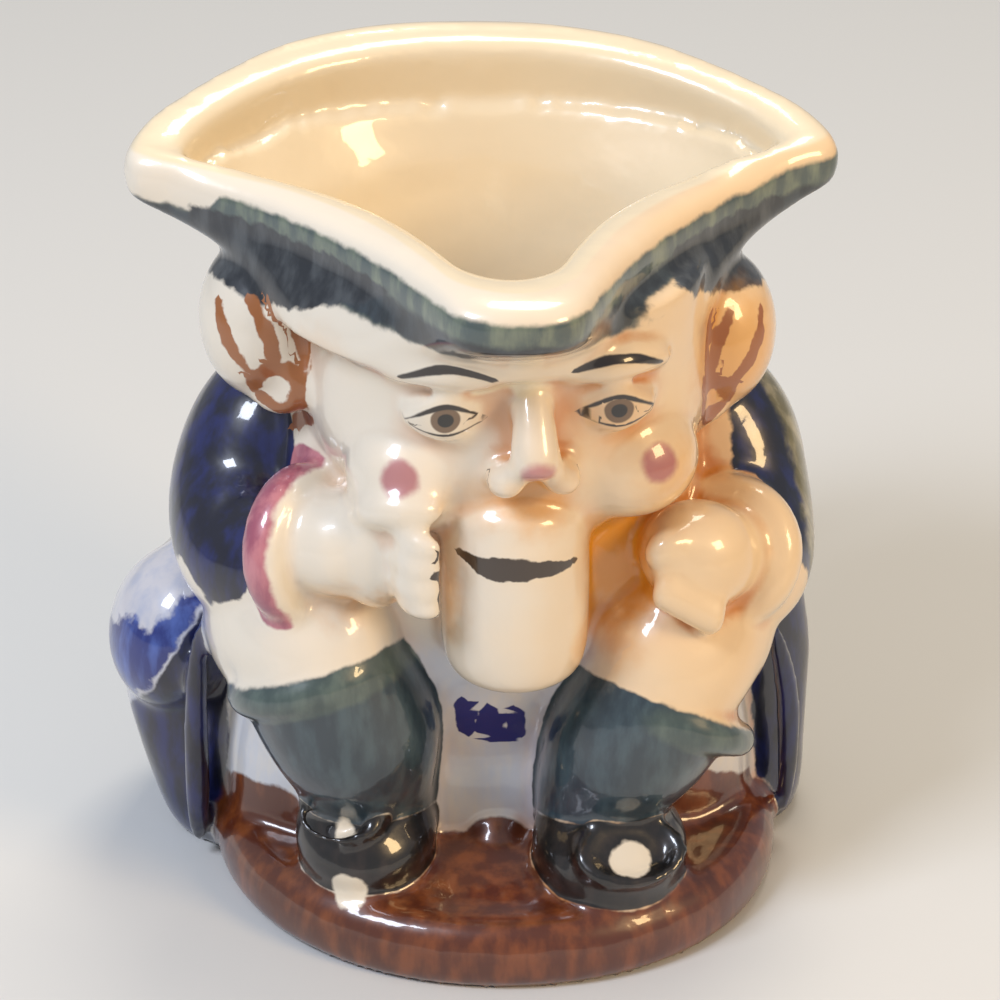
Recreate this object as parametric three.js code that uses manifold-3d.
// A small toby jug in glazed earthenware: a seated drinker in coat, stockings and buckled
// shoes on a low plinth, whose three-cornered hat is the jug's mouth, with a strap handle
// behind. It is slip-cast in one piece, so every form is joined into one hollow solid.
// Millimetres, +Z up, the figure looks along -Y, and the origin is the middle of the
// underside. "left" and "right" in names are the viewer's, at -X and +X.

import * as THREE from "three";
import { mergeVertices } from "three/addons/utils/BufferGeometryUtils.js";
import Module from "manifold-3d";

const wasm = await Module();
wasm.setup();

// ---- Driving dimensions ----

const PLINTH_HEIGHT = 8;
const PLINTH_HALF_WIDTH = 32.4;
const PLINTH_FRONT = 30.6;
const RIM_LOW = 84.3; // lip height at the front corner
const RIM_HIGH = 90; // lip height at the back
const LIP_DEPTH = 5; // height of the rolled edge of the brim
const HAT_BAND = 72; // where the hat leaves the brow
const THROAT = 70; // where the funnel inside the hat meets the body's hollow
const FLOOR = 6.5; // clay under the hollow
const HEAD_TURN = 0.07; // radians, towards +X
const HAT_TURN = 0.045;
const HAT_ROLL = 0.033; // drop of the lip for each millimetre towards +X
const SLIVER = 0.08; // joins leave slivers, and those thinner than this are closed up

const FACE_X = 1.6; // the head and the mug stand a little right of the middle
const EYE_HEIGHT = 67.6;
const EYE_SPREAD = 8.8;
const MUG = { x: 1.7, y: -18, radius: 7.7, bottom: 35.2, top: 58.3 };

// Outer and inner edges of the lip, right half, from the front corner round to the back.
const RIM_OUTER = [
  [0, -33], [5.6, -31.6], [9.2, -25.8], [13, -19], [18.2, -12], [25, -4.8], [32, 0],
  [36.6, 1.8], [37.6, 4.4], [35.2, 9.4], [31.4, 13.6], [27, 18], [20, 23.8], [10, 28.2], [0, 29.4],
];
const RIM_INNER = [
  [0, -27.2], [4.4, -25.9], [7.4, -21.2], [10.8, -14.6], [15.4, -8.6], [20.6, -3.8], [26, -0.3],
  [30.6, 2], [32.6, 4.6], [31, 8.4], [27.4, 12.4], [22.4, 16.8], [16.2, 20.6], [8, 23.8], [0, 24.6],
];

// ---- Solids from three.js geometries ----

// A geometry whose faces share their corners, so that it is closed.
function weld(geometry) {
  const bare = geometry.clone();
  for (const name of Object.keys(bare.attributes)) {
    if (name !== "position") bare.deleteAttribute(name);
  }
  return mergeVertices(bare, 1e-4);
}

// A closed geometry as a solid that can be joined and cut.
function solid(geometry) {
  const welded = weld(geometry);
  return new wasm.Manifold(
    new wasm.Mesh({
      numProp: 3,
      vertProperties: new Float32Array(welded.attributes.position.array),
      triVerts: new Uint32Array(welded.index.array),
    }),
  );
}

// A welded copy of a geometry with every corner moved by a function of its place.
function reshape(geometry, move) {
  const welded = weld(geometry);
  const at = welded.attributes.position;
  const point = new THREE.Vector3();
  for (let i = 0; i < at.count; i++) {
    point.fromBufferAttribute(at, i);
    move(point);
    at.setXYZ(i, point.x, point.y, point.z);
  }
  return welded;
}

function ellipsoid([x, y, z], [a, b, c], { turn = [0, 0, 0], around = 14, rows = 8 } = {}) {
  const ball = new THREE.SphereGeometry(1, around, rows).rotateX(Math.PI / 2);
  ball.scale(a, b, c);
  ball.applyMatrix4(new THREE.Matrix4().makeRotationFromEuler(new THREE.Euler(...turn)));
  return solid(ball.translate(x, y, z));
}

// A rounded limb along a curve, with a radius at each of its points.
function limb(points, radii, { around = 12, rows = 8, blunt = 3, flat = 1 } = {}) {
  const curve = new THREE.CatmullRomCurve3(points.map((p) => new THREE.Vector3(...p)));
  const girth = new THREE.CatmullRomCurve3(radii.map((r, i) => new THREE.Vector3(i, r, 0)));
  const { normals, binormals } = curve.computeFrenetFrames(rows, false);
  const body = reshape(new THREE.SphereGeometry(1, around, rows), (p) => {
    const along = Math.max(-1, Math.min(1, p.y));
    const angle = Math.atan2(p.z, p.x);
    const reach = (2 / Math.PI) * Math.asin(along);
    const share = (1 - Math.abs(reach) ** blunt) ** (1 / blunt);
    const t = (reach + 1) / 2;
    const row = Math.round(t * rows);
    const radius = girth.getPoint(t).y * share;
    p.copy(curve.getPointAt(t));
    p.addScaledVector(normals[row], radius * Math.cos(angle));
    p.addScaledVector(binormals[row], radius * flat * Math.sin(angle));
  });
  return solid(orient(body));
}

// Turns a closed geometry's faces outwards.
function orient(geometry) {
  const at = geometry.attributes.position;
  const index = geometry.index;
  const [a, b, c] = [new THREE.Vector3(), new THREE.Vector3(), new THREE.Vector3()];
  let volume = 0;
  for (let i = 0; i < index.count; i += 3) {
    a.fromBufferAttribute(at, index.getX(i));
    b.fromBufferAttribute(at, index.getX(i + 1));
    c.fromBufferAttribute(at, index.getX(i + 2));
    volume += a.dot(b.cross(c));
  }
  if (volume < 0) {
    for (let i = 0; i < index.count; i += 3) {
      const first = index.getX(i);
      index.setX(i, index.getX(i + 1));
      index.setX(i + 1, first);
    }
  }
  return geometry;
}

// A closed stack of rings: ring(row, turn) gives the point at each turn, 0 at the front.
function stack(rows, around, ring) {
  const drum = new THREE.CylinderGeometry(1, 1, rows - 1, around, rows - 1);
  const middle = (row) => {
    const sum = new THREE.Vector3();
    for (let k = 0; k < around; k++) sum.add(ring(row, k / around));
    return sum.divideScalar(around);
  };
  const ends = [middle(0), middle(rows - 1)];
  const shaped = reshape(drum, (p) => {
    const row = Math.round(p.y + (rows - 1) / 2);
    if (Math.hypot(p.x, p.z) < 0.5) p.copy(ends[row === 0 ? 0 : 1]);
    else {
      const turn = (Math.atan2(p.x, p.z) / (2 * Math.PI) + 1) % 1;
      p.copy(ring(row, Math.round(turn * around) / around));
    }
  });
  return solid(orient(shaped));
}

// A stack of superellipses. Each section has z, the half-widths left and right, the reach
// to the front and back, and how square it is; middle is the y that the reaches start at.
function loft(sections, { around = 32, middle = 0, shift = 0, skew = 0, pleat = () => 0 } = {}) {
  return stack(sections.length, around, (row, turn) => {
    const s = sections[row];
    const angle = turn * 2 * Math.PI;
    const [cx, cy] = [Math.sin(angle), -Math.cos(angle)];
    const wide = cx < 0 ? s.left ?? s.wide : s.right ?? s.wide;
    const deep = cy < 0 ? s.front : s.back;
    const power = s.square ?? 2;
    const size = (Math.abs(cx) ** power + Math.abs(cy) ** power) ** (-1 / power);
    const swell = 1 + pleat(turn, s.z);
    const y = middle + deep * cy * size * swell;
    return new THREE.Vector3(shift + wide * cx * size * swell - skew * Math.min(0, y), y, s.z);
  });
}

function join(...solids) {
  return wasm.Manifold.union(solids.flat(Infinity));
}

// ---- The forms ----

function plinth() {
  const section = (z, inset) => ({
    z,
    wide: PLINTH_HALF_WIDTH - inset,
    front: PLINTH_FRONT - inset,
    back: 24 - inset,
    square: 2.1,
  });
  const slab = loft([
    section(0, 0.9),
    section(0.9, 0),
    section(4.6, 0.2),
    section(6.6, 1.2),
    section(PLINTH_HEIGHT - 0.4, 3.2),
  ], { around: 40, shift: 0.6, skew: 0.05 });
  const crown = ellipsoid([0, -8, PLINTH_HEIGHT - 1.6], [26, 19, 2.4], { around: 24, rows: 6 });
  const lump = ellipsoid([0.3, -13.6, PLINTH_HEIGHT + 0.3], [3.2, 2.2, 1.7], { around: 8, rows: 6 });
  return join(slab, crown, lump);
}

// The seat and trunk, from the plinth up to the throat inside the hat.
function trunk() {
  return loft([
    { z: 1.5, wide: 30.4, front: 11.4, back: 22, square: 2.6 },
    { z: 8, wide: 30.4, front: 12.4, back: 23.6, square: 2.6 },
    { z: 14, wide: 30, front: 12.4, back: 24.6, square: 2.6 },
    { z: 19.5, wide: 29.2, front: 11.9, back: 25.4, square: 2.6 },
    { z: 26, wide: 28, front: 13.6, back: 25.8, square: 2.5 },
    { z: 34, wide: 26.4, front: 15.4, back: 25.2, square: 2.4 },
    { z: 43, wide: 24.4, front: 16.4, back: 23.6, square: 2.3 },
    { z: 51, wide: 23.4, front: 16.2, back: 21.8, square: 2.2 },
    { z: 58, wide: 22, front: 14.6, back: 20, square: 2.1 },
    { z: 66, wide: 20.5, front: 14, back: 19, square: 2.1 },
    { z: 77, wide: 21, front: 15, back: 19.5, square: 2.1 },
  ]);
}

// The coat's skirts, spread over the seat: wider on the left, with pleats round the back.
function coat() {
  const pleat = (turn, z) => {
    const behind = Math.max(0, -Math.cos(turn * 2 * Math.PI));
    const low = Math.max(0, 1 - z / 34);
    return 0.035 * behind * low * Math.cos(turn * 18 * 2 * Math.PI);
  };
  const skirts = loft([
    { z: 0, left: 37, right: 36.8, front: 14, back: 17.4, square: 3 },
    { z: 3.2, left: 38.4, right: 37.6, front: 14.4, back: 18.4, square: 3 },
    { z: 9, left: 40.8, right: 37.8, front: 13.6, back: 19.4, square: 2.7 },
    { z: 15, left: 43, right: 38, front: 12, back: 19.8, square: 2.4 },
    { z: 20.5, left: 44, right: 38, front: 11.6, back: 19.8, square: 2.3 },
    { z: 26, left: 43.4, right: 37.2, front: 11, back: 19.4, square: 2.2 },
    { z: 31, left: 40.4, right: 36.2, front: 10, back: 18.8, square: 2.2 },
    { z: 35.5, left: 36, right: 34, front: 8.4, back: 17.6, square: 2.1 },
    { z: 42, left: 30, right: 30, front: 6.4, back: 15.4, square: 2 },
    { z: 50, left: 24, right: 24, front: 5, back: 11.6, square: 2 },
  ], { around: 54, middle: 8, pleat });
  return skirts;
}

function arms() {
  const leftSleeve = limb(
    [[-15, 8, 58], [-22.6, 5, 53], [-26.2, 1, 46], [-25, -7, 42.6], [-19.4, -15, 47]],
    [7.4, 8.8, 8.8, 8.6, 6.6],
    { around: 16, rows: 14, blunt: 4 },
  );
  const rightSleeve = limb(
    [[15, 8, 57], [24.4, 5, 51.6], [27, 1, 44.4], [27, -6.4, 39.6], [24.4, -13.6, 43]],
    [7.4, 8.8, 8.8, 8.4, 6.8],
    { around: 16, rows: 14, blunt: 4 },
  );
  return join(leftSleeve, rightSleeve, cuff(-1), cuff(1));
}

// A turned-back cuff: a blunt disc round the wrist, leaning towards the hand.
function cuff(side) {
  const [centre, facing, radius] = side < 0
    ? [[-20.4, -14.2, 47.8], [0.8, -0.56, 0.16], 8.9]
    : [[27.4, -11.6, 42.6], [-0.5, -0.74, 0.42], 8.4];
  const profile = [[0, -2.6], [0.8, -2.6], [1, -1.2], [1, 1.4], [0.9, 2.4], [0.62, 2.5], [0.5, 1.4], [0, 1.4]];
  const disc = new THREE.LatheGeometry(profile.map(([r, y]) => new THREE.Vector2(r * radius, y)), 16);
  const lean = new THREE.Quaternion().setFromUnitVectors(
    new THREE.Vector3(0, 1, 0),
    new THREE.Vector3(...facing).normalize(),
  );
  disc.applyQuaternion(lean).translate(...centre);
  return solid(orient(disc));
}

// The hand that holds the mug: a palm, a thumb along the rim and four fingers side by side.
function mugHand() {
  const fingers = [];
  for (let k = 0; k < 4; k++) {
    const z = 54.9 - 2.85 * k;
    const knuckle = -12.6 + 0.5 * Math.abs(k - 1.5);
    fingers.push(limb(
      [[knuckle, -21.4, z + 0.5], [knuckle + 2.6, -24.8, z + 0.2], [-5.4, -25.4, z]],
      [1.55, 1.65, 1.4],
      { around: 7, rows: 5 },
    ));
  }
  const thumb = limb([[-15, -20.5, 55.6], [-11, -23.4, 57.6], [-5, -25, 57.9]], [2, 1.9, 1.4], { around: 7, rows: 5 });
  const palm = ellipsoid([-12.8, -19.4, 50.4], [5.2, 4.6, 7.2], { turn: [0, 0, -0.4], around: 12 });
  return join(palm, thumb, ...fingers);
}

// The other hand lies closed on the chest, its knuckles towards the mug.
function chestHand() {
  const fingers = [];
  for (let k = 0; k < 4; k++) {
    const [x, z] = [19 + 1.9 * k, 47.4 - 2 * k];
    fingers.push(limb(
      [[x + 1.4, -20.2, z + 1.4], [x - 1.4, -22.4, z - 0.8], [x - 3, -20.4, z - 2.2]],
      [1.5, 1.8, 1.5],
      { around: 7, rows: 5 },
    ));
  }
  const back = ellipsoid([22.4, -16.8, 45.2], [6.6, 4.6, 6.2], { turn: [0, 0.6, 0.35], around: 12 });
  const thumb = limb([[20.4, -17.4, 50.4], [17.6, -19.6, 50.2], [15.2, -20, 48.2]], [2, 2, 1.5], { around: 7, rows: 5 });
  return join(back, thumb, ...fingers);
}

function mug() {
  const { radius, bottom, top } = MUG;
  const height = top - bottom;
  const profile = [
    [0, 0], [0.8, 0], [0.9, 0.03], [0.97, 0.12], [1, 0.3], [1, 0.6], [0.97, 0.86], [0.99, 0.96], [0.93, 1], [0, 1],
  ];
  const pot = new THREE.LatheGeometry(profile.map(([r, t]) => new THREE.Vector2(r * radius, t * height)), 20);
  return solid(orient(pot.rotateX(Math.PI / 2).translate(MUG.x, MUG.y, bottom)));
}

// Thigh, knee, stocking with its rolled top, shoe and buckle of one leg.
function leg(side) {
  const knee = side < 0 ? [-19.4, -13.6, 33.4] : [19.2, -13.6, 29.8];
  const ankle = side < 0 ? [-15.2, -9.8, 14] : [12.8, -9.8, 13.6];
  const between = (share) => knee.map((k, i) => k + (ankle[i] - k) * share);
  const thigh = limb(
    [[side * 13, 6, 33], [side * 20, -4, 33.6], [knee[0], knee[1] + 1, knee[2] + 1.4], between(0.2)],
    [11, 11.6, 10, 8.6],
    { around: 14, rows: 10 },
  );
  const stocking = limb(
    [between(0.02), between(0.35), between(0.7), between(1.2)],
    [9.7, 9.3, 8, 7.6],
    { around: 16, rows: 8, blunt: 12 },
  );
  const rolled = new THREE.TorusGeometry(8.8, 1.3, 6, 18);
  rolled.rotateX(0.1).rotateY(side * 0.26).translate(...between(0.08));
  const foot = side < 0
    ? { at: [-15.1, -14.2, 11.2], size: [8.1, 8.8, 5.3], turn: -0.1 }
    : { at: [12.9, -14.4, 11], size: [9, 8.9, 5.3], turn: 0.16 };
  const shoe = ellipsoid(foot.at, foot.size, { turn: [0.16, 0, foot.turn], around: 16, rows: 9 });
  const buckle = new THREE.TorusGeometry(1, 0.2, 6, 16);
  buckle.scale(side < 0 ? 4.6 : 5.6, side < 0 ? 2.9 : 3.7, 4).rotateX(0.62);
  buckle.rotateZ(foot.turn).translate(foot.at[0] + side * 0.4, foot.at[1] - 3.4, foot.at[2] + 4);
  return join(thigh, stocking, solid(rolled), shoe, solid(buckle));
}

// Head in its own frame: the face looks along -Y and is mirrored about x = 0.
function head() {
  const shape = loft([
    { z: 46.5, wide: 9, front: 16, back: 8 },
    { z: 50, wide: 15, front: 19.8, back: 10 },
    { z: 54, wide: 19.4, front: 22, back: 12, square: 2.2 },
    { z: 58.5, wide: 21.6, front: 23, back: 13, square: 2.3 },
    { z: 63, wide: 21.9, front: 23.4, back: 13, square: 2.4 },
    { z: 67.5, wide: 21.6, front: 23.8, back: 13, square: 2.5 },
    { z: 72, wide: 21.2, front: 24.6, back: 13, square: 2.5 },
    { z: 78, wide: 21, front: 24.4, back: 13, square: 2.4 },
  ], { around: 28 });
  const nose = join(
    limb([[0, -22.6, 70.6], [0, -25.6, 65.6], [0, -27.2, 61.8]], [1.9, 2.5, 3.3], { around: 8, rows: 6 }),
    ellipsoid([-2.9, -24.8, 61], [2.3, 2.6, 2], { around: 8, rows: 6 }),
    ellipsoid([2.9, -24.8, 61], [2.3, 2.6, 2], { around: 8, rows: 6 }),
  );
  const sides = [-1, 1].map((side) => {
    const cheek = ellipsoid([side * 11, -15.4, 57.6], [7.6, 7, 6.4], { around: 14 });
    const brow = limb(
      [[side * 3.6, -24, 71.4], [side * 9, -23.9, 72.8], [side * 15, -20.6, 71.2]],
      [1.2, 1.7, 1.1],
      { around: 6, rows: 6 },
    );
    const eye = ellipsoid([side * EYE_SPREAD, -20.9, EYE_HEIGHT], [4.3, 3.1, 2.5], { around: 10, rows: 6 });
    return { cheek, brow, eye };
  });
  const sockets = sides.map((_, i) => ellipsoid(
    [(i ? 1 : -1) * EYE_SPREAD, -25, EYE_HEIGHT], [5.2, 3, 2.9], { around: 10, rows: 6 },
  ));
  const carved = join(shape, sides.map((s) => [s.cheek, s.brow])).subtract(join(sockets));
  const made = join(carved, nose, sides.map((s) => s.eye));
  return made.rotate([0, 0, (HEAD_TURN * 180) / Math.PI]).translate([FACE_X, 0, 0]);
}

// The wig: a roll with a curled end over each ear, and a full back above the collar.
function wig() {
  const rolls = [-1, 1].map((side) => {
    const drop = side < 0 ? 0 : 2.6;
    const roll = ellipsoid([side * 24, -1.6, 68.6 - drop], [6.8, 8.2, 9]);
    const curl = new THREE.TorusGeometry(2.7, 1.3, 6, 12);
    curl.rotateX(Math.PI / 2).rotateZ(side * 0.5).translate(side * 23.9, -6.6, 62.6 - drop);
    return join(roll, solid(curl));
  });
  const back = loft([
    { z: 50, wide: 14, front: 6, back: 10 },
    { z: 56, wide: 20, front: 8, back: 15 },
    { z: 63, wide: 23, front: 8, back: 17.4 },
    { z: 70, wide: 23.4, front: 8, back: 17.8 },
    { z: 77, wide: 22, front: 8, back: 16.8 },
  ], { around: 30, middle: 4 });
  return join(rolls, back);
}

// Lip height: level from the front corner to the side ones, rising over the back, and a
// little lower towards +X.
function rimHeight({ x, y }) {
  const share = Math.max(0, Math.min(1, (y + 2) / 31));
  return RIM_LOW + (RIM_HIGH - RIM_LOW) * (1 - (1 - share) ** 1.8) - HAT_ROLL * x;
}

// A closed plan curve through a right half and its mirror image, 0 at the front corner.
function outline(half) {
  const mirrored = half.slice(1, -1).reverse().map(([x, y]) => [-x, y]);
  const axis = new THREE.Vector3(0, 0, 1);
  const points = [...half, ...mirrored].map(([x, y]) => new THREE.Vector3(x, y, 0));
  points.forEach((p) => p.applyAxisAngle(axis, HAT_TURN));
  return new THREE.CatmullRomCurve3(points, true, "centripetal");
}

// A point of a lip outline, by the share of the way round, matched corner to corner.
function along(half) {
  const curve = outline(half);
  const count = 2 * (half.length - 1);
  return (turn) => curve.getPoint(((turn * count) % count) / count);
}

const HAT_AROUND = 56;

function oval(turn, wide, front, back) {
  const angle = turn * 2 * Math.PI;
  const [x, y] = [wide * Math.sin(angle), -Math.cos(angle)];
  return new THREE.Vector3(x, y < 0 ? front * y : back * y, 0);
}

// The hat outside: from the band on the brow out under the brim and over the rolled lip.
function hat() {
  const outer = along(RIM_OUTER);
  const inner = along(RIM_INNER);
  const rows = [
    { flare: 0, rise: 0 },
    { flare: 0.1, rise: 0.3 },
    { flare: 0.5, rise: 0.62 },
    { flare: 0.94, rise: 0.93 },
    { flare: 1, rise: 1 },
  ];
  const lip = [
    { inward: -0.06, below: LIP_DEPTH * 0.5 },
    { inward: 0.05, below: 1.5 },
    { inward: 0.3, below: 0.3 },
    { inward: 0.62, below: 0 },
  ];
  return stack(rows.length + lip.length, HAT_AROUND, (row, turn) => {
    const edge = outer(turn);
    const height = rimHeight(edge);
    if (row >= rows.length) {
      const { inward, below } = lip[row - rows.length];
      return edge.lerp(inner(turn), inward).setZ(height - below);
    }
    const { flare, rise } = rows[row];
    const band = oval(turn, 24.6, 25.4, 22);
    return band.lerp(edge, flare).setZ(HAT_BAND + (height - LIP_DEPTH - HAT_BAND) * rise);
  });
}

// The hollow: the funnel inside the hat, the throat and the belly, and the room inside the
// coat's skirts, a wall's thickness in from the outside.
function hollow() {
  const inner = along(RIM_INNER);
  const over = [
    { open: 1.14, height: () => RIM_HIGH + 6 },
    { open: 1.13, height: (rim) => rim + 0.3 },
    { open: 1.03, height: (rim) => rim - 0.5 },
    { open: 1, height: (rim) => rim - 2 },
  ];
  const slope = [
    { open: 0.9, rise: 0.74 },
    { open: 0.6, rise: 0.56 },
    { open: 0.28, rise: 0.36 },
    { open: 0.08, rise: 0.18 },
  ].map(({ open, rise }) => ({ open, height: (rim) => THROAT + (rim - THROAT) * rise }));
  const funnel = [...over, ...slope];
  const belly = [
    { z: 68, wide: 18.6, front: 19.4, back: 17 },
    { z: 61, wide: 17.6, front: 18.6, back: 16 },
    { z: 52, wide: 19.2, front: 13.2, back: 18.2 },
    { z: 42, wide: 20.8, front: 12.4, back: 20.2 },
    { z: 30, wide: 23.6, front: 10.4, back: 22.2 },
    { z: 19, wide: 25.6, front: 8.4, back: 22.2 },
    { z: 11, wide: 25.6, front: 8, back: 20.6 },
    { z: FLOOR + 1, wide: 23, front: 6, back: 18 },
    { z: FLOOR, wide: 18, front: 2, back: 13 },
  ];
  const main = stack(funnel.length + belly.length, 44, (row, turn) => {
    if (row >= funnel.length) {
      const s = belly[row - funnel.length];
      return oval(turn, s.wide, s.front, s.back).setZ(s.z);
    }
    const { open, height } = funnel[row];
    const edge = inner(turn);
    const z = height(rimHeight(edge));
    const throat = oval(turn, 20.2, 19.2, 18.4);
    const plan = open >= 1 ? edge.multiplyScalar(open) : throat.lerp(edge, open);
    return plan.setZ(z);
  });
  const skirts = loft([
    { z: FLOOR, left: 26, right: 26, front: 4, back: 10 },
    { z: FLOOR + 2, left: 32, right: 31, front: 7, back: 14 },
    { z: 14, left: 36.6, right: 33, front: 8, back: 15.4 },
    { z: 21, left: 39.2, right: 33.6, front: 8, back: 15.6 },
    { z: 27, left: 38.8, right: 33.2, front: 7.4, back: 15.2 },
    { z: 32.5, left: 34.6, right: 31.6, front: 6, back: 14 },
    { z: 38, left: 26, right: 26, front: 3, back: 12 },
  ], { middle: 8 });
  return join(main, skirts);
}

// A strap handle from the back of the wig to the small of the back.
function handle() {
  return limb(
    [[0, 20, 71.6], [0, 29, 72.6], [0, 38.2, 67.4], [0, 41.4, 57], [0, 38.6, 47], [0, 31, 39.6], [0, 24, 36]],
    [4.6, 4.1, 4, 3.9, 3.9, 4.1, 4.8],
    { around: 12, rows: 16, blunt: 12, flat: 0.72 },
  );
}

function jug() {
  const whole = join(
    plinth(), trunk(), coat(), arms(), mugHand(), chestHand(), mug(),
    leg(-1), leg(1), head(), wig(), hat(), handle(),
  );
  return whole.subtract(hollow()).asOriginal().simplify(SLIVER);
}

// ---- The model ----

function geometryOf(made) {
  const { vertProperties, triVerts, numProp, numVert } = made.getMesh();
  const places = new Float32Array(numVert * 3);
  for (let i = 0; i < numVert; i++) {
    places.set(vertProperties.subarray(i * numProp, i * numProp + 3), i * 3);
  }
  const geometry = new THREE.BufferGeometry();
  geometry.setAttribute("position", new THREE.BufferAttribute(places, 3));
  geometry.setIndex(new THREE.BufferAttribute(triVerts, 1));
  geometry.computeVertexNormals();
  return geometry;
}

const glaze = new THREE.MeshStandardMaterial({ color: 0xead9bd, roughness: 0.12, metalness: 0 });
const model = new THREE.Group();
const body = new THREE.Mesh(geometryOf(jug()), glaze);
body.name = "toby_jug";
model.add(body);

export default model;
